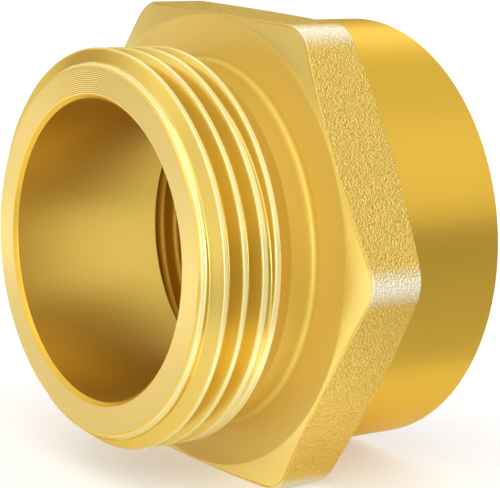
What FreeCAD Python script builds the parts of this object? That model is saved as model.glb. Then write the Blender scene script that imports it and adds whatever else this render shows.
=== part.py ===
import FreeCAD, Part
import math
import os
import Sketcher

# Brass hose adapter: male hose thread, neck, wrench hexagon, plain female end with a pipe thread inside.
# Millimetres. The turning axis runs along X, with the male end at -X, and the part lies on one hexagon flat.

SIZES = [
    ("overall_length", 42.9, "male face to female rim"),
    ("waterway_diameter", 38.1, "bore behind the male thread"),
    ("waterway_length", 22.3, "male face to the seat in the female end"),
    ("waterway_chamfer", 0.5, "edge break at the male face"),
    ("face_diameter", 45.7, "outer edge of the male face"),
    ("pilot_diameter", 46.6, "plain ring in front of the male thread"),
    ("pilot_length", 0.75, "male face to the start of the thread"),
    ("male_major_diameter", 50.55, "crests of the male thread"),
    ("male_minor_diameter", 46.88, "roots of the male thread"),
    ("male_pitch", 2.822, "nine threads to the inch"),
    ("male_crest_flat", 0.58, "width of a male crest"),
    ("male_root_flat", 0.62, "width of a male root"),
    ("male_runout_place", 8.75, "middle of the last groove where it starts to fade"),
    ("male_runout_turns", 0.4, "share of a turn in which the last groove fades"),
    ("male_runout_feed", 0.5, "how far the last groove still moves along the axis as it fades"),
    ("collar_end", 10.3, "male face to the end of the threaded diameter"),
    ("collar_slope", 3.1, "length of the cone from the threaded diameter to the neck"),
    ("neck_diameter", 46.4, "neck between thread and hexagon"),
    ("neck_root", 0.6, "small cone between neck and hexagon"),
    ("hex_place", 17.0, "male face to the hexagon"),
    ("hex_width", 9.4, "hexagon along the axis"),
    ("hex_across_flats", 58.9, "wrench size"),
    ("hex_corner_radius", 4.4, "rounding of the six cast corners"),
    ("hex_face_diameter", 58.2, "turned circle on each face of the hexagon"),
    ("hex_chamfer_angle", 14.0, "slope of the corner chamfers, in degrees from the face"),
    ("female_diameter", 56.2, "outside of the female end"),
    ("female_rim_chamfer", 0.4, "edge break outside the rim"),
    ("female_major_diameter", 48.2, "roots of the female thread"),
    ("female_minor_diameter", 44.7, "crests of the female thread"),
    ("female_pitch", 2.209, "eleven and a half threads to the inch"),
    ("female_crest_flat", 0.3, "width of a female crest"),
    ("female_lead_in", 2.27, "how far ahead of the rim the female groove starts"),
    ("relief_diameter", 48.8, "undercut at the bottom of the female thread"),
    ("relief_width", 2.8, "length of that undercut"),
    ("mouth_diameter", 49.4, "countersink in the female rim"),
    ("cut_clearance", 0.2, "how far a cut reaches past the metal it cuts"),
]


class Size:
    """A dimension of the sheet, or a sum of some: its expression for the document and its present value."""

    def __init__(self, text, value):
        self.text = text
        self.value = value

    def __add__(self, other):
        return Size(f"({self.text} + {other.text})", self.value + other.value)

    def __sub__(self, other):
        return Size(f"({self.text} - {other.text})", self.value - other.value)

    def __mul__(self, other):
        return Size(f"({self.text} * {other.text})", self.value * other.value)

    def __truediv__(self, other):
        return Size(f"({self.text} / {other.text})", self.value / other.value)

    def __neg__(self):
        return Size(f"(-{self.text})", -self.value)


def number(value):
    return Size(repr(value), value)


def tangent(angle):
    return Size(f"tan({angle.text})", math.tan(math.radians(angle.value)))


doc = FreeCAD.newDocument("hose_adapter")
sheet = doc.addObject("Spreadsheet::Sheet", "sheet")
for row, (alias, value, meaning) in enumerate(SIZES, start=1):
    sheet.set(f"A{row}", meaning)
    sheet.set(f"B{row}", str(value))
    sheet.setAlias(f"B{row}", alias)
doc.recompute()

size = {alias: Size(f"sheet.{alias}", value) for alias, value, meaning in SIZES}
two = number(2)
zero = number(0)
length = size["overall_length"]
clearance = size["cut_clearance"]

body = doc.addObject("PartDesign::Body", "adapter_body")
body.Label = "adapter_body"


def origin_feature(role):
    return next(feature for feature in body.Origin.OriginFeatures if feature.Role == role)


def bind(thing, name, dimension):
    """Ties one property to the sheet."""
    thing.setExpression(name, dimension.text)


def place_vertex(sketch, line, across, up):
    """Holds the start of a line at its two distances from the sketch's origin."""
    for kind, axis, dimension in (("DistanceX", -2, across), ("DistanceY", -1, up)):
        if dimension is zero:
            sketch.addConstraint(Sketcher.Constraint("PointOnObject", line, 1, axis))
        else:
            held = sketch.addConstraint(Sketcher.Constraint(kind, -1, 1, line, 1, dimension.value))
            bind(sketch, f"Constraints[{held}]", dimension)


def outline(name, plane, *loops):
    """A sketch of closed loops of straight lines, each corner held by sizes of the sheet."""
    sketch = body.newObject("Sketcher::SketchObject", name)
    sketch.AttachmentSupport = [(origin_feature(plane), "")]
    sketch.MapMode = "FlatFace"
    for loop in loops:
        first = sketch.GeometryCount
        corners = [FreeCAD.Vector(across.value, up.value, 0) for across, up in loop]
        for start, end in zip(corners, corners[1:] + corners[:1]):
            sketch.addGeometry(Part.LineSegment(start, end), False)
        for step, (across, up) in enumerate(loop):
            follower = first + (step + 1) % len(loop)
            sketch.addConstraint(Sketcher.Constraint("Coincident", first + step, 2, follower, 1))
            place_vertex(sketch, first + step, across, up)
    return sketch


def turned(kind, name, *loops):
    """A full turn about the adapter's axis, added or cut away."""
    sketch = outline(f"{name}_section", "XZ_Plane", *loops)
    feature = body.newObject(f"PartDesign::{kind}", name)
    feature.Profile = sketch
    feature.ReferenceAxis = (sketch, ["H_Axis"])
    feature.Angle = 360
    return finished(feature)


def finished(feature):
    doc.recompute()
    body.Tip = feature
    return feature


def rounded(name, edges, radius):
    """Fillets the given edges of the body as it is so far."""
    base = body.Tip
    feature = body.newObject("PartDesign::Fillet", name)
    feature.Base = (base, edges)
    feature.Radius = radius.value
    bind(feature, "Radius", radius)
    return finished(feature)


def edge_names(test):
    return [f"Edge{place}" for place, edge in enumerate(body.Tip.Shape.Edges, start=1) if test(edge)]


def helical_groove(name, sketch, backwards, **sizes):
    """A groove of the sketched section along a right-hand helix about the adapter's axis."""
    feature = body.newObject("PartDesign::SubtractiveHelix", name)
    feature.Profile = sketch
    feature.ReferenceAxis = (sketch, ["H_Axis"])
    feature.Mode = "height-turns-growth" if "Growth" in sizes else "pitch-height-angle"
    feature.HasBeenEdited = True
    feature.Reversed = backwards
    for key, dimension in sizes.items():
        bind(feature, key, dimension)
    return finished(feature)


# The wrench hexagon: two flats level, corners rounded as cast.
hex_place = size["hex_place"]
hex_end = hex_place + size["hex_width"]
apothem = size["hex_across_flats"] / two
corner = size["hex_across_flats"] / Size("sqrt(3)", math.sqrt(3))
half_corner = corner / two
hex_section = outline(
    "hexagon_section",
    "YZ_Plane",
    [
        (corner, zero),
        (half_corner, apothem),
        (-half_corner, apothem),
        (-corner, zero),
        (-half_corner, -apothem),
        (half_corner, -apothem),
    ],
)
bind(hex_section, "AttachmentOffset.Base.z", hex_place)
hexagon = body.newObject("PartDesign::Pad", "hexagon")
hexagon.Profile = hex_section
bind(hexagon, "Length", size["hex_width"])
finished(hexagon)


def along_axis(edge):
    ends = [vertex.Point for vertex in edge.Vertexes]
    return abs(ends[0].x - ends[-1].x) > size["hex_width"].value / 2


rounded("hexagon_corners", edge_names(along_axis), size["hex_corner_radius"])

# Both faces of the hexagon are turned to a circle, which leaves a shallow cone on each corner.
hex_face = size["hex_face_diameter"] / two
beyond_corner = corner + clearance
chamfer_depth = (beyond_corner - hex_face) * tangent(size["hex_chamfer_angle"])
turned(
    "Groove",
    "hexagon_chamfers",
    [(hex_place, hex_face), (hex_place, beyond_corner), (hex_place + chamfer_depth, beyond_corner)],
    [(hex_end, hex_face), (hex_end, beyond_corner), (hex_end - chamfer_depth, beyond_corner)],
)

# The turned outside: male face, pilot ring, threaded diameter, cone, neck, and the plain female end.
face = size["face_diameter"] / two
pilot = size["pilot_diameter"] / two
male_major = size["male_major_diameter"] / two
male_minor = size["male_minor_diameter"] / two
neck = size["neck_diameter"] / two
neck_root = size["neck_root"]
female = size["female_diameter"] / two
male_flank = (size["male_pitch"] - size["male_crest_flat"] - size["male_root_flat"]) / two
hex_middle = hex_place + size["hex_width"] / two
rim_chamfer = size["female_rim_chamfer"]
turned(
    "Revolution",
    "turned_outside",
    [
        (zero, zero),
        (zero, face),
        (pilot - face, pilot),
        (size["pilot_length"], pilot),
        (size["pilot_length"] + male_flank, male_major),
        (size["collar_end"], male_major),
        (size["collar_end"] + size["collar_slope"], neck),
        (hex_place - neck_root, neck),
        (hex_place, neck + neck_root),
        (hex_middle, neck + neck_root),
        (hex_middle, female),
        (length - rim_chamfer, female),
        (length, female - rim_chamfer),
        (length, zero),
    ],
)

# The turned inside: waterway, seat, undercut, thread bore and countersunk mouth.
waterway = size["waterway_diameter"] / two
seat = size["waterway_length"]
relief = size["relief_diameter"] / two
relief_end = seat + size["relief_width"]
female_minor = size["female_minor_diameter"] / two
female_major = size["female_major_diameter"] / two
mouth = size["mouth_diameter"] / two
turned(
    "Groove",
    "turned_inside",
    [
        (zero, zero),
        (zero, waterway + size["waterway_chamfer"]),
        (size["waterway_chamfer"], waterway),
        (seat, waterway),
        (seat, relief),
        (relief_end, relief),
        (relief_end, female_minor),
        (length - (mouth - female_minor), female_minor),
        (length, mouth),
        (length, zero),
    ],
)

# The male thread is cut from its run-out forwards past the face, and fades out behind its last full turn.
male_rise = male_flank / (male_major - male_minor)
male_top = male_major + clearance
male_half_root = size["male_root_flat"] / two
male_half_top = male_half_root + (male_top - male_minor) * male_rise
groove_place = size["male_runout_place"]
male_section = outline(
    "male_thread_section",
    "XZ_Plane",
    [
        (groove_place - male_half_root, male_minor),
        (groove_place + male_half_root, male_minor),
        (groove_place + male_half_top, male_top),
        (groove_place - male_half_top, male_top),
    ],
)
helical_groove(
    "male_thread",
    male_section,
    True,
    Pitch=size["male_pitch"],
    Height=groove_place + male_half_top,
)
helical_groove(
    "male_thread_runout",
    male_section,
    False,
    Height=size["male_runout_feed"],
    Turns=size["male_runout_turns"],
    Growth=(male_top - male_minor) / size["male_runout_turns"],
)

# The female thread is cut from ahead of the rim inwards, into the undercut.
female_rise = (size["female_pitch"] - size["female_crest_flat"]) / two / (female_major - female_minor)
female_top = female_minor - clearance
female_half_top = (female_major - female_top) * female_rise
first_groove = length + size["female_lead_in"]
female_section = outline(
    "female_thread_section",
    "XZ_Plane",
    [
        (first_groove, female_major),
        (first_groove + female_half_top, female_top),
        (first_groove - female_half_top, female_top),
    ],
)
helical_groove(
    "female_thread",
    female_section,
    True,
    Pitch=size["female_pitch"],
    Height=first_groove - (seat + size["relief_width"] / two),
)

# The part's own frame: the origin lies under the middle of its length, on the lowest flat.
bind(body, "Placement.Base.x", -(length / two))
bind(body, "Placement.Base.z", apothem)
doc.recompute()

for thing in doc.Objects:
    if "Invalid" in thing.State or "Error" in thing.State:
        raise RuntimeError(f"{thing.Label} failed: {thing.State}")
shape = body.Shape
if shape.isNull() or not shape.isValid() or len(shape.Solids) != 1:
    raise RuntimeError(f"{body.Label} is not one valid solid")

os.makedirs("parts", exist_ok=True)
shape.exportStep(f"parts/{body.Label}.step")
print(f"{body.Label}: {shape.Volume:.1f} mm3, box {shape.BoundBox}")
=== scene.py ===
import math

import bmesh
import bpy
from mathutils import Matrix, Vector


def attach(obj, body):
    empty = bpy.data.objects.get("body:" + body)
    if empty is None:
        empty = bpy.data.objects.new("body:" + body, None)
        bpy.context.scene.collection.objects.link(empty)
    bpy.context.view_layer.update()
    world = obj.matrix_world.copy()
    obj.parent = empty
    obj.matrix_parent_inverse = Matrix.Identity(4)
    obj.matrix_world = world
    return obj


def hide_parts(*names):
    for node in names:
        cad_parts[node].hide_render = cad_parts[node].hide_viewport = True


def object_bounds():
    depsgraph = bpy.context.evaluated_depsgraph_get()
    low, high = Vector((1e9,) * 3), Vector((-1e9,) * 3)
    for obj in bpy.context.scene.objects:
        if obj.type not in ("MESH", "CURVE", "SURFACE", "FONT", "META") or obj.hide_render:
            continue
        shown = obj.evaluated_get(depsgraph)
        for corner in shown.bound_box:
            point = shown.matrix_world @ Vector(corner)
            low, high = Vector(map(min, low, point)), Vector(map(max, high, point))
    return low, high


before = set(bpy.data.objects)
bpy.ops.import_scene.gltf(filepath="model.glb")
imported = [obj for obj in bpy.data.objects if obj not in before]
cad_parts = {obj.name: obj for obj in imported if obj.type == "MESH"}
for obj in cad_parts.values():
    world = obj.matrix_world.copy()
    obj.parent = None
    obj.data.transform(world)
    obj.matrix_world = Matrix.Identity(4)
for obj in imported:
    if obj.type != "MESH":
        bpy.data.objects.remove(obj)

bl_info = {
    "name": "Brass hose adapter",
    "version": (1, 0, 0),
    "blender": (4, 5, 0),
    "location": "3D View > Sidebar > Adapter",
    "description": "A turned brass adapter with a male hose thread, a wrench hexagon and a female pipe thread",
    "category": "Object",
}

CAD_LOW, CAD_HIGH = [Vector(corner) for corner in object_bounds()]
MM = 0.001
SEGMENTS = 336
MALE_ROWS_PER_TURN = 28
FEMALE_ROWS_PER_TURN = 10
WELD = 2e-6


def millimetres(name, default, description):
    """A length of the adapter, held in metres."""
    return bpy.props.FloatProperty(
        name=name, description=description, default=default * MM, unit="LENGTH", precision=5
    )


class ADAPTER_PG_sizes(bpy.types.PropertyGroup):
    """The turned, threaded and cast sizes of the adapter."""

    overall_length: bpy.props.FloatProperty(
        name="Overall length",
        description="Male face to female rim",
        default=CAD_HIGH.x - CAD_LOW.x,
        unit="LENGTH",
        precision=5,
    )
    hex_across_flats: bpy.props.FloatProperty(
        name="Hexagon across flats",
        description="Wrench size",
        default=CAD_HIGH.z - CAD_LOW.z,
        unit="LENGTH",
        precision=5,
    )
    waterway_radius: millimetres("Waterway radius", 19.05, "Bore behind the male thread")
    waterway_length: millimetres("Waterway length", 22.3, "Male face to the seat in the female end")
    waterway_chamfer: millimetres("Waterway chamfer", 0.5, "Edge break at the male face")
    face_radius: millimetres("Face radius", 22.85, "Outer edge of the male face")
    pilot_radius: millimetres("Pilot radius", 23.3, "Plain ring in front of the male thread")
    pilot_length: millimetres("Pilot length", 0.75, "Male face to the start of the thread")
    male_crest_radius: millimetres("Male crest radius", 25.275, "Crests of the male thread")
    male_root_radius: millimetres("Male root radius", 23.44, "Roots of the male thread")
    male_pitch: millimetres("Male pitch", 2.822, "Nine threads to the inch")
    male_crest_flat: millimetres("Male crest flat", 0.58, "Width of a male crest")
    male_root_flat: millimetres("Male root flat", 0.62, "Width of a male root")
    male_crest_place: millimetres("Male crest place", 0.989, "A crest's distance from the male face at the far side")
    collar_end: millimetres("Collar end", 10.3, "Male face to the end of the threaded diameter")
    collar_slope: millimetres("Collar slope", 3.1, "Length of the cone down to the neck")
    neck_radius: millimetres("Neck radius", 23.2, "Neck between thread and hexagon")
    neck_fillet: millimetres("Neck fillet", 0.9, "Rounding between neck and hexagon")
    hex_place: millimetres("Hexagon place", 17.0, "Male face to the hexagon")
    hex_width: millimetres("Hexagon width", 9.4, "Hexagon along the axis")
    hex_corner_radius: millimetres("Hexagon corner radius", 4.4, "Rounding of the cast corners")
    hex_face_radius: millimetres("Hexagon face radius", 29.1, "Turned circle on each face of the hexagon")
    hex_edge: millimetres("Hexagon edge", 0.1, "Softness of the edge between a flat and its chamfer")
    female_radius: millimetres("Female radius", 28.1, "Outside of the female end")
    female_crest_radius: millimetres("Female crest radius", 22.35, "Crests of the female thread")
    female_root_radius: millimetres("Female root radius", 24.1, "Roots of the female thread")
    female_pitch: millimetres("Female pitch", 2.209, "Eleven and a half threads to the inch")
    female_crest_flat: millimetres("Female crest flat", 0.3, "Width of a female crest")
    female_root_flat: millimetres("Female root flat", 0.05, "Width of a female root")
    female_crest_place: millimetres(
        "Female crest place", 25.842, "A crest's distance from the male face at the far side"
    )
    relief_radius: millimetres("Undercut radius", 24.4, "Undercut at the bottom of the female thread")
    relief_width: millimetres("Undercut width", 2.8, "Length of that undercut")
    mouth_radius: millimetres("Mouth radius", 24.7, "Countersink in the female rim")
    edge_break: millimetres("Edge break", 0.4, "Chamfer outside the female rim")
    edge_ease: millimetres("Edge easing", 0.12, "Rounding left on the turned edges")
    hex_chamfer_angle: bpy.props.FloatProperty(
        name="Chamfer angle",
        description="Slope of the hexagon's corner chamfers from its faces",
        default=math.radians(14),
        subtype="ANGLE",
    )
    runout_start: bpy.props.FloatProperty(
        name="Run-out start",
        description="Turns after which the last male groove starts to fade",
        default=2.25,
    )
    runout_turns: bpy.props.FloatProperty(
        name="Run-out turns",
        description="Share of a turn in which it fades",
        default=0.4,
    )
    runout_lag: millimetres("Run-out lag", 0.63, "How far the fading groove falls behind its helix")


def tint(name, default, description):
    return bpy.props.FloatVectorProperty(name=name, description=description, default=default, subtype="COLOR")


class ADAPTER_PG_finish(bpy.types.PropertyGroup):
    """The brass and its surfaces."""

    brass: tint("Brass", (0.82, 0.51, 0.06), "Turned metal")
    neck_brass: tint("Neck", (0.74, 0.56, 0.13), "Neck and the cone before it")
    thread_brass: tint("Thread", (0.8, 0.58, 0.13), "Grooves and flanks of the male thread")
    # Painted highlight: a pale tone that stands in for the light on the thread's crests and the pilot ring.
    painted_crest_highlight: tint("Crest highlight", (0.92, 0.79, 0.36), "Crests of the male thread and the pilot ring")
    satin_brass: tint("Satin", (0.75, 0.53, 0.115), "Flat faces of the hexagon")
    # Painted highlight: a pale tone that stands in for the light on the hexagon's corner chamfers.
    painted_chamfer_highlight: tint("Chamfers", (0.97, 0.78, 0.24), "Corner chamfers of the hexagon")
    bored_brass: tint("Bore", (0.79, 0.555, 0.11), "Waterway")
    socket_brass: tint("Female thread", (0.5, 0.29, 0.045), "Inside of the female end")
    faced_brass: tint("Male face", (0.72, 0.52, 0.13), "Ring round the waterway")
    cast_brass: tint("Cast", (0.88, 0.6, 0.13), "Grained flats of the hexagon")
    # Painted highlight: a pale tone that stands in for the light on the hexagon's rounded corners.
    painted_corner_highlight: tint("Corner highlight", (1.0, 0.92, 0.68), "Rubbed corners of the hexagon")
    edge_tint: tint("Edge tint", (0.95, 0.79, 0.4), "Colour of the metal at a glancing angle")
    turned_roughness: bpy.props.FloatProperty(
        name="Turned roughness", description="Blur of the turned surfaces", default=0.36, subtype="FACTOR"
    )
    cast_roughness: bpy.props.FloatProperty(
        name="Cast roughness", description="Blur of the grained flats", default=0.25, subtype="FACTOR"
    )
    grain: millimetres("Grain", 0.27, "Size of the casting's grain")
    feed: millimetres("Feed", 0.24, "Distance between the rings of the facing tool")


class ADAPTER_PG_stage(bpy.types.PropertyGroup):
    """The camera and the studio round the adapter."""

    camera_place: bpy.props.FloatVectorProperty(
        name="Camera place",
        description="Where the camera stands",
        subtype="XYZ",
        unit="LENGTH",
        default=(-0.16615, -0.22499, 0.08417),
    )
    camera_azimuth: bpy.props.FloatProperty(
        name="Azimuth",
        description="Turn of the view about the vertical",
        subtype="ANGLE",
        default=math.radians(-36.945),
    )
    camera_elevation: bpy.props.FloatProperty(
        name="Elevation", description="Height of the view", subtype="ANGLE", default=math.radians(11.212)
    )
    camera_roll: bpy.props.FloatProperty(
        name="Roll", description="Tilt of the picture", subtype="ANGLE", default=math.radians(2.717)
    )
    lens: bpy.props.FloatProperty(
        name="Lens", description="Focal length in millimetres on a 36 mm sensor", default=157.15
    )
    paper: bpy.props.FloatVectorProperty(
        name="Paper", description="Colour of the floor", subtype="COLOR", default=(0.8, 0.8, 0.8)
    )


class Socket:
    """An output of a node tree. Arithmetic on it adds Math nodes to that tree."""

    def __init__(self, tree, socket):
        self.tree = tree
        self.socket = socket

    def math(self, operation, *values):
        return self.tree.node("ShaderNodeMath", {"operation": operation}, dict(enumerate(values)))

    def __add__(self, other):
        return self.math("ADD", self, other)

    def __radd__(self, other):
        return self.math("ADD", other, self)

    def __sub__(self, other):
        return self.math("SUBTRACT", self, other)

    def __rsub__(self, other):
        return self.math("SUBTRACT", other, self)

    def __mul__(self, other):
        return self.math("MULTIPLY", self, other)

    def __rmul__(self, other):
        return self.math("MULTIPLY", other, self)

    def __truediv__(self, other):
        return self.math("DIVIDE", self, other)

    def __rtruediv__(self, other):
        return self.math("DIVIDE", other, self)

    def __abs__(self):
        return self.math("ABSOLUTE", self)

    def floor(self):
        return self.math("FLOOR", self)

    def lower(self, other, ease=0.0):
        return self.math("SMOOTH_MIN", self, other, ease)

    def upper(self, other, ease=0.0):
        return self.math("SMOOTH_MAX", self, other, ease)

    def above(self, other):
        return self.math("GREATER_THAN", self, other)

    def within(self, low, high):
        return self.math("MINIMUM", self.math("MAXIMUM", self, low), high)

    def power(self, exponent):
        return self.math("POWER", self, exponent)


class Tree:
    """A node tree, and the one way in which nodes are added to it."""

    def __init__(self, tree):
        self.tree = tree

    def node(self, kind, settings=None, inputs=None, output=0):
        """Adds a node: its settings first, then the values or links of its inputs. Returns one output."""
        node = self.tree.nodes.new(kind)
        for name, value in (settings or {}).items():
            setattr(node, name, value)
        for name, value in (inputs or {}).items():
            if isinstance(value, Socket):
                self.tree.links.new(value.socket, node.inputs[name])
            else:
                node.inputs[name].default_value = value
        return Socket(self, node.outputs[output]) if len(node.outputs) else node

    def parts(self, vector):
        """The three components of a vector."""
        split = self.node("ShaderNodeSeparateXYZ", None, {0: vector}).socket.node
        return [Socket(self, socket) for socket in split.outputs]

    def vector(self, x, y, z):
        return self.node("ShaderNodeCombineXYZ", None, {0: x, 1: y, 2: z})

    def blend(self, factor, first, second):
        """A colour between two."""
        settings = {"data_type": "RGBA", "clamp_factor": True}
        return self.node("ShaderNodeMix", settings, {0: factor, 6: first, 7: second}, output=2)

    def bump(self, height, distance):
        return self.node("ShaderNodeBump", None, {"Strength": 1.0, "Distance": distance, "Height": height})


def new_material(name):
    material = bpy.data.materials.new(name)
    material.use_nodes = True
    material.node_tree.nodes.clear()
    return material, Tree(material.node_tree)


TURNED, CAST, FACED, SATIN, BORED = range(5)


class Brass:
    """A brass material, and the places on the adapter that its finish goes by."""

    def __init__(self, name, sizes):
        self.material, self.tree = new_material(name)
        self.sizes = sizes
        self.place = self.tree.node("ShaderNodeTexCoord", None, None, "Object")

    def along(self):
        """Distance from the male face."""
        return self.tree.parts(self.place)[0] + self.sizes.overall_length / 2

    def radius(self):
        """Distance from the axis."""
        _, y, z = self.tree.parts(self.place)
        up = z - self.sizes.hex_across_flats / 2
        return (y * y + up * up).power(0.5)

    def noise(self, scale, detail):
        inputs = {"Vector": self.place, "Scale": scale, "Detail": detail}
        return self.tree.node("ShaderNodeTexNoise", None, inputs)

    def close(self, inputs):
        """Ends the material in a shader with these inputs."""
        surface = self.tree.node("ShaderNodeBsdfPrincipled", None, inputs)
        self.tree.node("ShaderNodeOutputMaterial", None, {"Surface": surface})
        return self.material


def rise(value, start, end):
    """0 up to start, 1 from end on, and a straight slope between. With start above end, it falls instead."""
    return ((value - start) / (end - start)).within(0.0, 1.0)


def colour(values, share=1.0):
    """Red, green and blue as a node takes them, each times a share."""
    return (*[share * value for value in values], 1)


def turned_brass(finish, s):
    """Bright turned brass, lighter on the neck, with a painted highlight: a pale tone on the thread's crests and the
    pilot ring.
    """
    brass = Brass("turned_brass", s)
    tree, along, radius = brass.tree, brass.along(), brass.radius()
    cloud = brass.noise(70.0, 2.0)
    outside = rise(radius, s.face_radius - 1.35 * MM, s.face_radius - 0.35 * MM)
    thread = outside * rise(along, s.collar_end + 0.5 * MM, s.collar_end)
    neck = outside * rise(along, s.collar_end, s.collar_end + 0.5 * MM)
    neck = neck * rise(along, s.hex_place + 0.4 * MM, s.hex_place)
    crest = rise(radius, s.male_crest_radius - 0.155 * MM, s.male_crest_radius - 0.035 * MM)
    crest = crest * rise(along, s.collar_end + 0.2 * MM, s.collar_end)
    pilot = rise(radius, s.pilot_radius - 0.25 * MM, s.pilot_radius - 0.1 * MM)
    pilot = pilot * rise(along, s.pilot_length + 0.12 * MM, s.pilot_length)
    # Painted highlight: the crests and the pilot ring take a pale tone in place of the light they catch.
    painted_crest_highlight = (crest + pilot).within(0.0, 1.0)
    tone = tree.blend(cloud, colour(finish.brass, 0.96), colour(finish.brass))
    tone = tree.blend(neck, tone, colour(finish.neck_brass))
    tone = tree.blend(thread, tone, colour(finish.thread_brass))
    return brass.close(
        {
            "Base Color": tree.blend(painted_crest_highlight, tone, colour(finish.painted_crest_highlight)),
            "Metallic": 0.88 - painted_crest_highlight * 0.5,
            "Specular Tint": colour(finish.edge_tint),
            "Roughness": finish.turned_roughness + (cloud - 0.5) * 0.05 + neck * 0.22 - thread * 0.08,
            "Coat Weight": 0.1,
            "Coat Roughness": 0.25,
        }
    )


def satin_brass(finish, s):
    """The faces of the hexagon: brass with a dull satin finish, and a painted highlight: a paler tone on the corner
    chamfers.
    """
    brass = Brass("satin_brass", s)
    cloud = brass.noise(50.0, 2.0)
    chamfer = rise(brass.radius(), s.hex_face_radius, s.hex_face_radius + 0.1 * MM)
    return brass.close(
        {
            # Painted highlight: the chamfers take a paler tone in place of the light they catch.
            "Base Color": brass.tree.blend(chamfer, colour(finish.satin_brass), colour(finish.painted_chamfer_highlight)),
            "Metallic": 0.45 + chamfer * 0.35,
            "Roughness": 0.5 + (cloud - 0.5) * 0.08 - chamfer * 0.2,
            "Coat Weight": 0.1,
            "Coat Roughness": 0.4,
        }
    )


def bored_brass(finish, s):
    """The inside: brass left dull by the boring tool, and darker in the female end."""
    brass = Brass("bored_brass", s)
    tree, along = brass.tree, brass.along()
    rings = tree.node(
        "ShaderNodeTexNoise", {"noise_dimensions": "1D"}, {"W": along * 1500.0, "Scale": 1.0, "Detail": 2.0}
    )
    socket = rise(along, s.waterway_length, s.waterway_length + 0.2 * MM)
    tone = tree.blend(rings, colour(finish.bored_brass, 0.98), colour(finish.bored_brass))
    return brass.close(
        {
            "Base Color": tree.blend(socket, tone, colour(finish.socket_brass)),
            "Metallic": 1.0,
            "Roughness": 0.36 + (rings - 0.5) * 0.03,
        }
    )


def faced_brass(finish, s):
    """The male face: brass with the rings that a facing tool leaves."""
    brass = Brass("faced_brass", s)
    tree = brass.tree
    turns = brass.radius() * (math.tau / finish.feed)
    rings = turns.math("SINE", turns)
    tone = tree.blend(rings * 0.5 + 0.5, colour(finish.faced_brass, 0.97), colour(finish.faced_brass))
    ring_depth = 0.05 * finish.feed
    return brass.close(
        {
            "Base Color": tone,
            "Metallic": 0.85,
            "Roughness": finish.turned_roughness - 0.08,
            "Coat Weight": 0.3,
            "Coat Roughness": 0.2,
            "Normal": tree.bump(rings, ring_depth),
        }
    )


def cast_brass(finish, s):
    """The flats and corners of the hexagon: brass with the sandy grain of its casting, and a painted highlight: a pale
    tone on the rounded corners.

    The grain fades out at the front edge, which was trimmed with the chamfers."""
    brass = Brass("cast_brass", s)
    tree, along, radius = brass.tree, brass.along(), brass.radius()
    scale = 1.0 / finish.grain
    pits = tree.node(
        "ShaderNodeTexVoronoi",
        {"feature": "SMOOTH_F1"},
        {"Vector": brass.place, "Scale": scale, "Smoothness": 0.6, "Randomness": 1.0},
        "Distance",
    )
    waves = brass.noise(scale * 0.8, 3.0)
    from_edge = along - s.hex_place - (radius - s.hex_face_radius) * math.tan(s.hex_chamfer_angle)
    height = (waves * 0.8 - pits * 0.7 - 0.15) * rise(from_edge, 0.0, 0.4 * MM)
    ridges = (waves * 2.0 - pits * 0.8 - 0.1).within(0.0, 1.0)
    corner = hexagon_radius(s, 0.0)
    # Painted highlight on the rounded corners: a pale tone rising towards the corner's edge.
    corner_highlight = rise(radius, corner - 1.125 * MM, corner).power(3.0)
    tone = tree.blend(ridges, colour(finish.cast_brass, 0.8), colour(finish.cast_brass))
    grain_depth = 0.26 * MM
    return brass.close(
        {
            "Base Color": tree.blend(corner_highlight, tone, colour(finish.painted_corner_highlight)),
            "Metallic": 0.75 - corner_highlight * 0.3,
            "Specular Tint": colour(finish.edge_tint),
            "Roughness": finish.cast_roughness + pits * 0.1,
            "Normal": tree.bump(height, grain_depth),
        }
    )


THREAD_INPUTS = (
    "First station",
    "Steps per turn",
    "Start",
    "End",
    "Pitch",
    "Crest radius",
    "Root radius",
    "Crest flat",
    "Root flat",
    "Crest place",
    "Run-out start",
    "Run-out turns",
    "Run-out lag",
    "Step radius",
    "Limit place",
    "Limit radius",
    "Limit slope",
    "Inside",
    "Face place",
    "Axis height",
)


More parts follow.
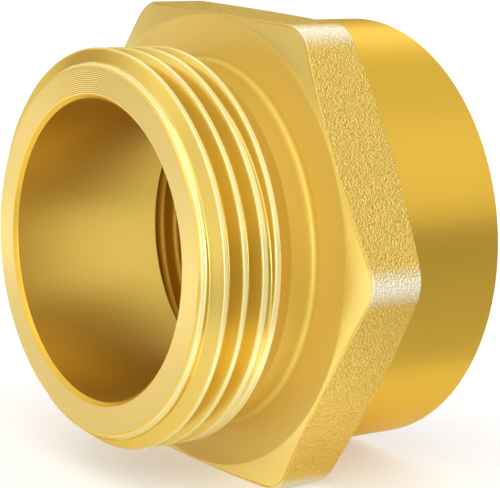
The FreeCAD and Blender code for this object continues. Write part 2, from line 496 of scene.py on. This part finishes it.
def thread_tree(segments):
    """A ring cut by a helical groove. Its rows follow the helix and are held at the ring's two ends."""
    depth_ease = 0.12
    faded_depth = 1.11
    limit_ease = 0.08 * MM
    group = bpy.data.node_groups.new("threaded_ring", "GeometryNodeTree")
    face = group.interface
    face.new_socket("Geometry", in_out="OUTPUT", socket_type="NodeSocketGeometry")
    face.new_socket("Stations", in_out="INPUT", socket_type="NodeSocketInt")
    for name in THREAD_INPUTS:
        face.new_socket(name, in_out="INPUT", socket_type="NodeSocketFloat")
    face.new_socket("Material", in_out="INPUT", socket_type="NodeSocketMaterial")
    tree = Tree(group)
    source = group.nodes.new("NodeGroupInput")
    given = {socket.name: Socket(tree, socket) for socket in source.outputs if socket.name}

    grid = tree.node(
        "GeometryNodeMeshGrid",
        None,
        {"Size X": 1.0, "Size Y": 1.0, "Vertices X": given["Stations"], "Vertices Y": segments + 1},
        "Mesh",
    )
    across, round_, _ = tree.parts(tree.node("GeometryNodeInputPosition"))
    station = (across + 0.5) * (given["Stations"] - 1.0)
    turn = round_ + 0.5
    pitch = given["Pitch"]
    helix = given["First station"] + station * pitch / given["Steps per turn"]
    x = (helix + pitch * turn).within(given["Start"], given["End"])

    phase = (x - pitch * turn - given["Crest place"]) / pitch
    groove = phase.floor()
    fade = ((groove + turn - given["Run-out start"]) / given["Run-out turns"]).within(0.0, 1.0)
    off_middle = abs((phase - groove - 0.5) * pitch + given["Run-out lag"] * fade)
    flank = (pitch - given["Crest flat"] - given["Root flat"]) * 0.5
    depth = ((given["Root flat"] * 0.5 + flank - off_middle) / flank).lower(1.0, depth_ease)
    depth = (depth - fade * faded_depth).upper(0.0, depth_ease)
    cut = given["Crest radius"] + (given["Root radius"] - given["Crest radius"]) * depth
    limit = given["Limit radius"] + given["Limit slope"] * (x - given["Limit place"])
    inside = given["Inside"]
    cut = cut.upper(limit, limit_ease) * inside + cut.lower(limit, limit_ease) * (1.0 - inside)
    first = 1.0 - station.above(0.5)
    radius = cut * (1.0 - first) + given["Step radius"] * first

    angle = turn * math.tau
    place = tree.vector(
        x + given["Face place"],
        radius * angle.math("COSINE", angle),
        radius * angle.math("SINE", angle) + given["Axis height"],
    )
    shaped = tree.node("GeometryNodeSetPosition", None, {"Geometry": grid, "Position": place})
    welded = tree.node("GeometryNodeMergeByDistance", None, {"Geometry": shaped, "Distance": WELD})
    real = tree.node("GeometryNodeRealizeInstances", None, {"Geometry": welded})
    clad = tree.node("GeometryNodeSetMaterial", None, {"Geometry": real, "Material": given["Material"]})
    result = group.nodes.new("NodeGroupOutput")
    group.links.new(clad.socket, result.inputs[0])
    return group


def thread_ring(name, group, values, rows_per_turn):
    """One threaded ring as a plain mesh, from the tree and the ring's own sizes."""
    step = values["Pitch"] / rows_per_turn
    before = math.ceil((values["Crest place"] - values["Start"] + values["Pitch"]) / step) + 1
    first = values["Crest place"] - before * step
    stations = math.ceil((values["End"] - first) / step) + 1
    values = {**values, "First station": first, "Steps per turn": float(rows_per_turn), "Stations": stations}
    carrier = bpy.data.objects.new(name, bpy.data.meshes.new(name))
    bpy.context.scene.collection.objects.link(carrier)
    modifier = carrier.modifiers.new("thread", "NODES")
    modifier.node_group = group
    for item in group.interface.items_tree:
        if item.in_out == "INPUT":
            modifier[item.identifier] = values[item.name]
    bpy.context.view_layer.update()
    evaluated = carrier.evaluated_get(bpy.context.evaluated_depsgraph_get())
    mesh = bpy.data.meshes.new_from_object(evaluated)
    carrier.modifiers.remove(modifier)
    bpy.data.objects.remove(carrier)
    mesh.name = name
    return mesh


def eased_profile(corners, ease_steps=4):
    """Rows of a turned profile from its corners (x, radius, rounding), with a few rows along each straight."""
    most = 0.45  # share of a straight that a rounding may take
    points = [Vector(corner[:2]) for corner in corners]
    rows = [points[0]]
    for before, corner, after, (_, _, rounding) in zip(points, points[1:], points[2:], corners[1:-1]):
        into, out = (before - corner).normalized(), (after - corner).normalized()
        reach = rounding / math.tan(into.angle(out) / 2)
        reach = min(reach, most * (before - corner).length, most * (after - corner).length)
        start, end = corner + into * reach, corner + out * reach
        rows += straight(rows[-1], start)
        rows += [rounded(start, corner, end, step / ease_steps) for step in range(ease_steps + 1)]
    rows += straight(rows[-1], points[-1])
    rows.append(points[-1])
    return [(row.x, row.y) for row in rows]


def rounded(start, corner, end, t):
    """The point at t, from 0 to 1, of the curve that rounds a corner."""
    return start * (1 - t) ** 2 + corner * 2 * t * (1 - t) + end * t**2


def straight(start, end):
    """Rows between two points: one close to each end, so that the roundings keep their light, and some between."""
    near = 0.18 * MM
    spacing = 4 * MM
    length = (end - start).length
    if length < 4 * near:
        return []
    middles = max(1, round(length / spacing))
    places = [near / length, *[step / (middles + 1) for step in range(1, middles + 1)], 1 - near / length]
    return [start.lerp(end, place) for place in places]


def add_rows(shell, rows, s, material):
    """Adds rings of vertices and the faces between them. A row's x and radius are numbers, or lists round the ring."""
    height = s.hex_across_flats / 2
    rings = []
    for xs, radii in rows:
        ring = []
        for step in range(SEGMENTS):
            angle = math.tau * step / SEGMENTS
            x = xs[step] if isinstance(xs, list) else xs
            radius = radii[step] if isinstance(radii, list) else radii
            place = (x - s.overall_length / 2, radius * math.cos(angle), radius * math.sin(angle) + height)
            ring.append(shell.verts.new(place))
        rings.append(ring)
    for near, far in zip(rings, rings[1:]):
        for step in range(SEGMENTS):
            after = (step + 1) % SEGMENTS
            face = shell.faces.new((near[step], near[after], far[after], far[step]))
            face.material_index = material


def hexagon_radius(s, angle):
    """Distance from the axis to the rounded hexagon at an angle. Two of its flats are level."""
    apothem = s.hex_across_flats / 2
    rounding = s.hex_corner_radius
    from_corner = (angle + math.pi / 6) % (math.pi / 3) - math.pi / 6
    centre = (apothem - rounding) / math.cos(math.pi / 6)
    tangent = math.atan2(rounding / 2, centre + rounding * math.cos(math.pi / 6))
    if abs(from_corner) < tangent:
        return centre * math.cos(from_corner) + math.sqrt(rounding**2 - (centre * math.sin(from_corner)) ** 2)
    return apothem / math.cos(math.pi / 6 - abs(from_corner))


def hexagon_rows(s):
    """Rows over the hexagon: front chamfer, soft edge, flats, soft edge, rear chamfer."""
    slope = math.tan(s.hex_chamfer_angle)
    columns = []
    for step in range(SEGMENTS):
        radius = hexagon_radius(s, math.tau * step / SEGMENTS)
        depth = (radius - s.hex_face_radius) * slope
        front = Vector((s.hex_place, s.hex_face_radius))
        corner = Vector((s.hex_place + depth, radius))
        middle = Vector((s.hex_place + s.hex_width / 2, radius))
        reach = min(s.hex_edge, 0.45 * (front - corner).length)
        start = corner + (front - corner).normalized() * reach
        end = corner + Vector((s.hex_edge, 0))
        half = [front.lerp(start, t) for t in (0, 0.35, 0.7, 0.92)]
        half += [rounded(start, corner, end, t) for t in (0, 0.2, 0.4, 0.6, 0.8, 1)]
        half += [end.lerp(middle, t) for t in (0.06, 0.25, 0.5, 0.75, 1)]
        both_ends = 2 * s.hex_place + s.hex_width
        columns.append(half + [Vector((both_ends - row.x, row.y)) for row in half[-2::-1]])
    rows = []
    for place in range(len(columns[0])):
        rows.append(([column[place].x for column in columns], [column[place].y for column in columns]))
    return rows


class ADAPTER_OT_body(bpy.types.Operator):
    """Builds the adapter as one closed shell: turned rings, both threads and the hexagon"""

    bl_idname = "adapter.body"
    bl_label = "Adapter body"

    def execute(self, context):
        s = context.scene.adapter_sizes
        finish = context.scene.adapter_finish
        makers = (turned_brass, cast_brass, faced_brass, satin_brass, bored_brass)
        finishes = [maker(finish, s) for maker in makers]
        shell = bmesh.new()
        for mesh in self.threads(s, finishes[TURNED]):
            shell.from_mesh(mesh)
            bpy.data.meshes.remove(mesh)
        for face in shell.faces:
            face.material_index = TURNED
        for corners in self.turned_profiles(s):
            add_rows(shell, eased_profile(corners), s, TURNED)
        rows = hexagon_rows(s)
        add_rows(shell, rows[:4], s, SATIN)
        add_rows(shell, rows[3:-3], s, CAST)
        add_rows(shell, rows[-4:], s, SATIN)
        bmesh.ops.remove_doubles(shell, verts=shell.verts, dist=WELD)
        bmesh.ops.dissolve_degenerate(shell, dist=WELD / 4, edges=shell.edges)
        bmesh.ops.recalc_face_normals(shell, faces=shell.faces)
        open_edges = sum(1 for edge in shell.edges if not edge.is_manifold)
        if open_edges:
            raise RuntimeError(f"the adapter's shell has {open_edges} open edges")
        for face in shell.faces:
            face.smooth = True
            if face.material_index == TURNED:
                face.material_index = self.finish_of(s, face)
        mesh = bpy.data.meshes.new("adapter_shell")
        shell.to_mesh(mesh)
        shell.free()
        for material in finishes:
            mesh.materials.append(material)
        body = bpy.data.objects.new("adapter_shell", mesh)
        context.scene.collection.objects.link(body)
        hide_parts("adapter_body")
        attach(body, "root")
        return {"FINISHED"}

    def finish_of(self, s, face):
        """The finish of a turned face by its place: inside, male face, a face of the hexagon, or the rest."""
        along = [vert.co.x + s.overall_length / 2 for vert in face.verts]
        radii = [math.hypot(vert.co.y, vert.co.z - s.hex_across_flats / 2) for vert in face.verts]
        in_female_end = min(along) > s.waterway_length - WELD
        if max(radii) < (s.mouth_radius if in_female_end else s.waterway_radius) + WELD:
            return BORED
        if max(along) < WELD:
            return FACED
        hexagon = s.hex_place - WELD < min(along) and max(along) < s.hex_place + s.hex_width + WELD
        if hexagon and abs(face.normal.x) > 0.999 and min(radii) > s.neck_radius:
            return SATIN
        return TURNED

    def threads(self, s, material):
        group = thread_tree(SEGMENTS)
        common = {
            "Face place": -s.overall_length / 2,
            "Axis height": s.hex_across_flats / 2,
            "Material": material,
        }
        male_flank = (s.male_pitch - s.male_crest_flat - s.male_root_flat) / 2
        never = 1000.0
        male = {
            "Start": s.pilot_length,
            "End": s.collar_end,
            "Pitch": s.male_pitch,
            "Crest radius": s.male_crest_radius,
            "Root radius": s.male_root_radius,
            "Crest flat": s.male_crest_flat,
            "Root flat": s.male_root_flat,
            "Crest place": s.male_crest_place,
            "Run-out start": s.runout_start,
            "Run-out turns": s.runout_turns,
            "Run-out lag": s.runout_lag,
            "Step radius": s.pilot_radius,
            "Limit place": s.pilot_length,
            "Limit radius": s.pilot_radius,
            "Limit slope": (s.male_crest_radius - s.pilot_radius) / male_flank,
            "Inside": 0.0,
        }
        female = {
            "Start": s.waterway_length + s.relief_width,
            "End": s.overall_length,
            "Pitch": s.female_pitch,
            "Crest radius": s.female_crest_radius,
            "Root radius": s.female_root_radius,
            "Crest flat": s.female_crest_flat,
            "Root flat": s.female_root_flat,
            "Crest place": s.female_crest_place,
            "Run-out start": never,
            "Run-out turns": 1.0,
            "Run-out lag": 0.0,
            "Step radius": s.relief_radius,
            "Limit place": s.overall_length,
            "Limit radius": s.mouth_radius,
            "Limit slope": 1.0,
            "Inside": 1.0,
        }
        return [
            thread_ring("male_thread", group, {**male, **common}, MALE_ROWS_PER_TURN),
            thread_ring("female_thread", group, {**female, **common}, FEMALE_ROWS_PER_TURN),
        ]

    def turned_profiles(self, s):
        """Corners of the turned outlines (x, radius, rounding) between the threads and the hexagon."""
        ease = s.edge_ease
        hex_end = s.hex_place + s.hex_width
        chamfer = s.waterway_chamfer
        male_end = [
            (s.waterway_length, s.waterway_radius, 0),
            (chamfer, s.waterway_radius, ease),
            (0.0, s.waterway_radius + chamfer, ease),
            (0.0, s.face_radius, ease),
            (s.pilot_radius - s.face_radius, s.pilot_radius, ease),
            (s.pilot_length, s.pilot_radius, 0),
        ]
        neck = [
            (s.collar_end, s.male_crest_radius, 0),
            (s.collar_end + s.collar_slope, s.neck_radius, 0.6 * MM),
            (s.hex_place, s.neck_radius, s.neck_fillet),
            (s.hex_place, s.hex_face_radius, 0),
        ]
        female_end = [
            (hex_end, s.hex_face_radius, 0),
            (hex_end, s.female_radius, 0.2 * MM),
            (s.overall_length - s.edge_break, s.female_radius, ease),
            (s.overall_length, s.female_radius - s.edge_break, ease),
            (s.overall_length, s.mouth_radius, 0),
        ]
        seat = [
            (s.waterway_length + s.relief_width, s.relief_radius, 0),
            (s.waterway_length, s.relief_radius, 0.4 * MM),
            (s.waterway_length, s.waterway_radius, 0),
        ]
        return male_end, neck, female_end, seat


WHITE = (1.0, 1.0, 1.0)
GREY = (0.4, 0.4, 0.4)
WARM = (1.0, 0.7, 0.32)

# Name, brightness, tint at one side and from the middle on, a corner, and two sides from it.
CARDS = (
    ("front_card", 0.6, WHITE, GREY, (-0.02, -0.03, 0.001), (0.37, 0, 0), (0, -0.17, 0.069)),
    ("right_card", 1.6, WHITE, WHITE, (0.035, 0, 0.002), (0.215, 0, 0), (0, 0.22, 0)),
    ("back_card", 0.15, WHITE, WHITE, (0.06, 0.3, 0), (0.44, 0, 0), (0, 0, 0.22)),
    ("left_card", 2.0, WHITE, WHITE, (-0.3, 0.005, 0.002), (0.23, 0, 0), (0, 0.125, 0)),
    ("top_card", 0.75, WHITE, WHITE, (0.1, -0.2, 0.5), (0.5, 0, 0), (0, 0.4, 0)),
    ("rear_card", 2.2, WHITE, WHITE, (-0.06, 0.11, 0.002), (0.11, 0, 0), (0, 0.09, 0)),
    ("far_card", 0.4, WARM, WARM, (-0.4, 0.12, 0.055), (0.31, 0.218, 0), (0, 0, 0.11)),
    ("flat_card", 1.6, WHITE, WHITE, (-0.03, -0.027, 0.003), (0.039, 0, 0), (0, -0.014, 0.0055)),
    ("mouth_card", 0.83, WHITE, WHITE, (0.0245, -0.028, 0.015), (0, 0.05, 0), (0, 0, 0.021)),
    ("socket_card", 1.15, WHITE, WHITE, (0.0038, -0.0178, 0.0165), (0.0197, 0, 0), (0, 0.0053, 0.031)),
    ("side_card", 0.5, WHITE, WHITE, (-0.3, -0.1, 0.002), (0.22, 0, 0), (0, 0.1, 0)),
)

# Name, place, width, height, and brightness, where 1 is the white of the tent.
LAMPS = (
    ("key", (-0.35, -0.35, 0.75), 0.9, 0.9, 0.8),
    ("left", (-0.75, 0.5, 0.45), 0.6, 0.4, 0.4),
    ("back", (0.5, 0.6, 0.42), 0.5, 0.3, 1.05),
    ("front", (-0.42, -0.7, 0.12), 0.45, 0.3, 4.0),
)

ROOM_LIGHT = 0.8
PAPER_GLOW = 0.3


class ADAPTER_OT_stage(bpy.types.Operator):
    """Sets the camera, the paper floor, the soft light and the cards that the metal shows"""

    bl_idname = "adapter.stage"
    bl_label = "Stage"

    def execute(self, context):
        stage = context.scene.adapter_stage
        self.camera(context, stage)
        self.floor(context, stage)
        self.world(context)
        self.lights(context)
        self.cards(context)
        context.scene.view_settings.view_transform = "Standard"
        return {"FINISHED"}

    def camera(self, context, stage):
        azimuth, elevation, roll = stage.camera_azimuth, stage.camera_elevation, stage.camera_roll
        back = Vector(
            (
                math.sin(azimuth) * math.cos(elevation),
                -math.cos(azimuth) * math.cos(elevation),
                math.sin(elevation),
            )
        )
        right = (-back).cross(Vector((0, 0, 1))).normalized()
        up = right.cross(-back)
        turned_right = right * math.cos(roll) + up * math.sin(roll)
        turned_up = up * math.cos(roll) - right * math.sin(roll)
        data = bpy.data.cameras.new("camera")
        data.lens = stage.lens
        data.sensor_width = 36
        data.sensor_fit = "HORIZONTAL"
        data.clip_start = 0.01
        camera = bpy.data.objects.new("camera", data)
        turn = Matrix((turned_right, turned_up, back)).transposed()
        camera.matrix_world = Matrix.Translation(stage.camera_place) @ turn.to_4x4()
        context.scene.collection.objects.link(camera)
        context.scene.camera = camera

    def floor(self, context, stage):
        material, tree = new_material("paper")
        paper = tree.node(
            "ShaderNodeBsdfPrincipled",
            None,
            {"Base Color": (*stage.paper, 1), "Roughness": 0.9, "Specular IOR Level": 0.1},
        )
        glow = tree.node("ShaderNodeEmission", None, {"Strength": self.seen(tree) * PAPER_GLOW})
        surface = tree.node("ShaderNodeAddShader", None, {0: paper, 1: glow})
        tree.node("ShaderNodeOutputMaterial", None, {"Surface": surface})
        mesh = bpy.data.meshes.new("floor")
        shell = bmesh.new()
        bmesh.ops.create_grid(shell, x_segments=1, y_segments=1, size=3.0)
        shell.to_mesh(mesh)
        shell.free()
        mesh.materials.append(material)
        floor = bpy.data.objects.new("floor", mesh)
        context.scene.collection.objects.link(floor)

    def seen(self, tree):
        """1 for a ray from the camera, or one that metal or glass sends on, and 0 for the light of the room."""
        path = tree.node("ShaderNodeLightPath").socket.node.outputs
        rays = [Socket(tree, path[name]) for name in ("Is Camera Ray", "Is Glossy Ray", "Is Transmission Ray")]
        return (rays[0] + rays[1] + rays[2]).within(0.0, 1.0)

    def world(self, context):
        world = bpy.data.worlds.new("tent")
        world.use_nodes = True
        world.node_tree.nodes.clear()
        tree = Tree(world.node_tree)
        strength = ROOM_LIGHT + self.seen(tree) * (1.0 - ROOM_LIGHT)
        background = tree.node("ShaderNodeBackground", None, {"Color": (1, 1, 1, 1), "Strength": strength})
        tree.node("ShaderNodeOutputWorld", None, {"Surface": background})
        context.scene.world = world

    def cards(self, context):
        """Cards that only the metal shows. They give the round surfaces their bright and shaded bands."""
        for name, brightness, near_tint, far_tint, corner, side, other_side in CARDS:
            material, tree = new_material(name)
            tone = colour(near_tint)
            if far_tint != near_tint:
                across = tree.parts(tree.node("ShaderNodeTexCoord", None, None, "UV"))[1]
                tone = tree.blend(rise(across, 0.0, 0.5), tone, colour(far_tint))
            glow = tree.node("ShaderNodeEmission", None, {"Color": tone, "Strength": brightness})
            tree.node("ShaderNodeOutputMaterial", None, {"Surface": glow})
            corner, side, other_side = Vector(corner), Vector(side), Vector(other_side)
            mesh = bpy.data.meshes.new(name)
            places = (corner, corner + side, corner + side + other_side, corner + other_side)
            mesh.from_pydata(places, [], [(0, 1, 2, 3)])
            layer = mesh.uv_layers.new(name="card")
            for loop, place in zip(layer.data, ((0, 0), (1, 0), (1, 1), (0, 1))):
                loop.uv = place
            mesh.materials.append(material)
            card = bpy.data.objects.new(name, mesh)
            card.visible_camera = False
            card.visible_diffuse = False
            card.visible_shadow = False
            context.scene.collection.objects.link(card)

    def lights(self, context):
        """Large soft lamps, turned to the adapter."""
        centre = Vector((0, 0, 0.03))
        for name, place, width, height, brightness in LAMPS:
            data = bpy.data.lights.new(name, "AREA")
            data.shape = "RECTANGLE"
            data.size = width
            data.size_y = height
            data.energy = brightness * math.pi * width * height
            lamp = bpy.data.objects.new(name, data)
            lamp.location = place
            lamp.rotation_euler = (Vector(place) - centre).to_track_quat("Z", "Y").to_euler()
            context.scene.collection.objects.link(lamp)


class ADAPTER_PT_panel(bpy.types.Panel):
    """Lists the adapter's sizes, finish and stage with the buttons that build them"""

    bl_idname = "ADAPTER_PT_panel"
    bl_label = "Hose adapter"
    bl_space_type = "VIEW_3D"
    bl_region_type = "UI"
    bl_category = "Adapter"

    def draw(self, context):
        layout = self.layout
        for group in (context.scene.adapter_sizes, context.scene.adapter_finish, context.scene.adapter_stage):
            column = layout.box().column()
            for name in group.bl_rna.properties.keys():
                if name not in {"rna_type", "name"}:
                    column.prop(group, name)
        for operator in (ADAPTER_OT_body, ADAPTER_OT_stage):
            layout.operator(operator.bl_idname)


CLASSES = (
    ADAPTER_PG_sizes,
    ADAPTER_PG_finish,
    ADAPTER_PG_stage,
    ADAPTER_OT_body,
    ADAPTER_OT_stage,
    ADAPTER_PT_panel,
)


def register():
    for cls in CLASSES:
        bpy.utils.register_class(cls)
    bpy.types.Scene.adapter_sizes = bpy.props.PointerProperty(type=ADAPTER_PG_sizes)
    bpy.types.Scene.adapter_finish = bpy.props.PointerProperty(type=ADAPTER_PG_finish)
    bpy.types.Scene.adapter_stage = bpy.props.PointerProperty(type=ADAPTER_PG_stage)


def unregister():
    del bpy.types.Scene.adapter_stage
    del bpy.types.Scene.adapter_finish
    del bpy.types.Scene.adapter_sizes
    for cls in reversed(CLASSES):
        bpy.utils.unregister_class(cls)


def main():
    register()
    bpy.ops.adapter.body()
    bpy.ops.adapter.stage()


if __name__ == "__main__":
    main()
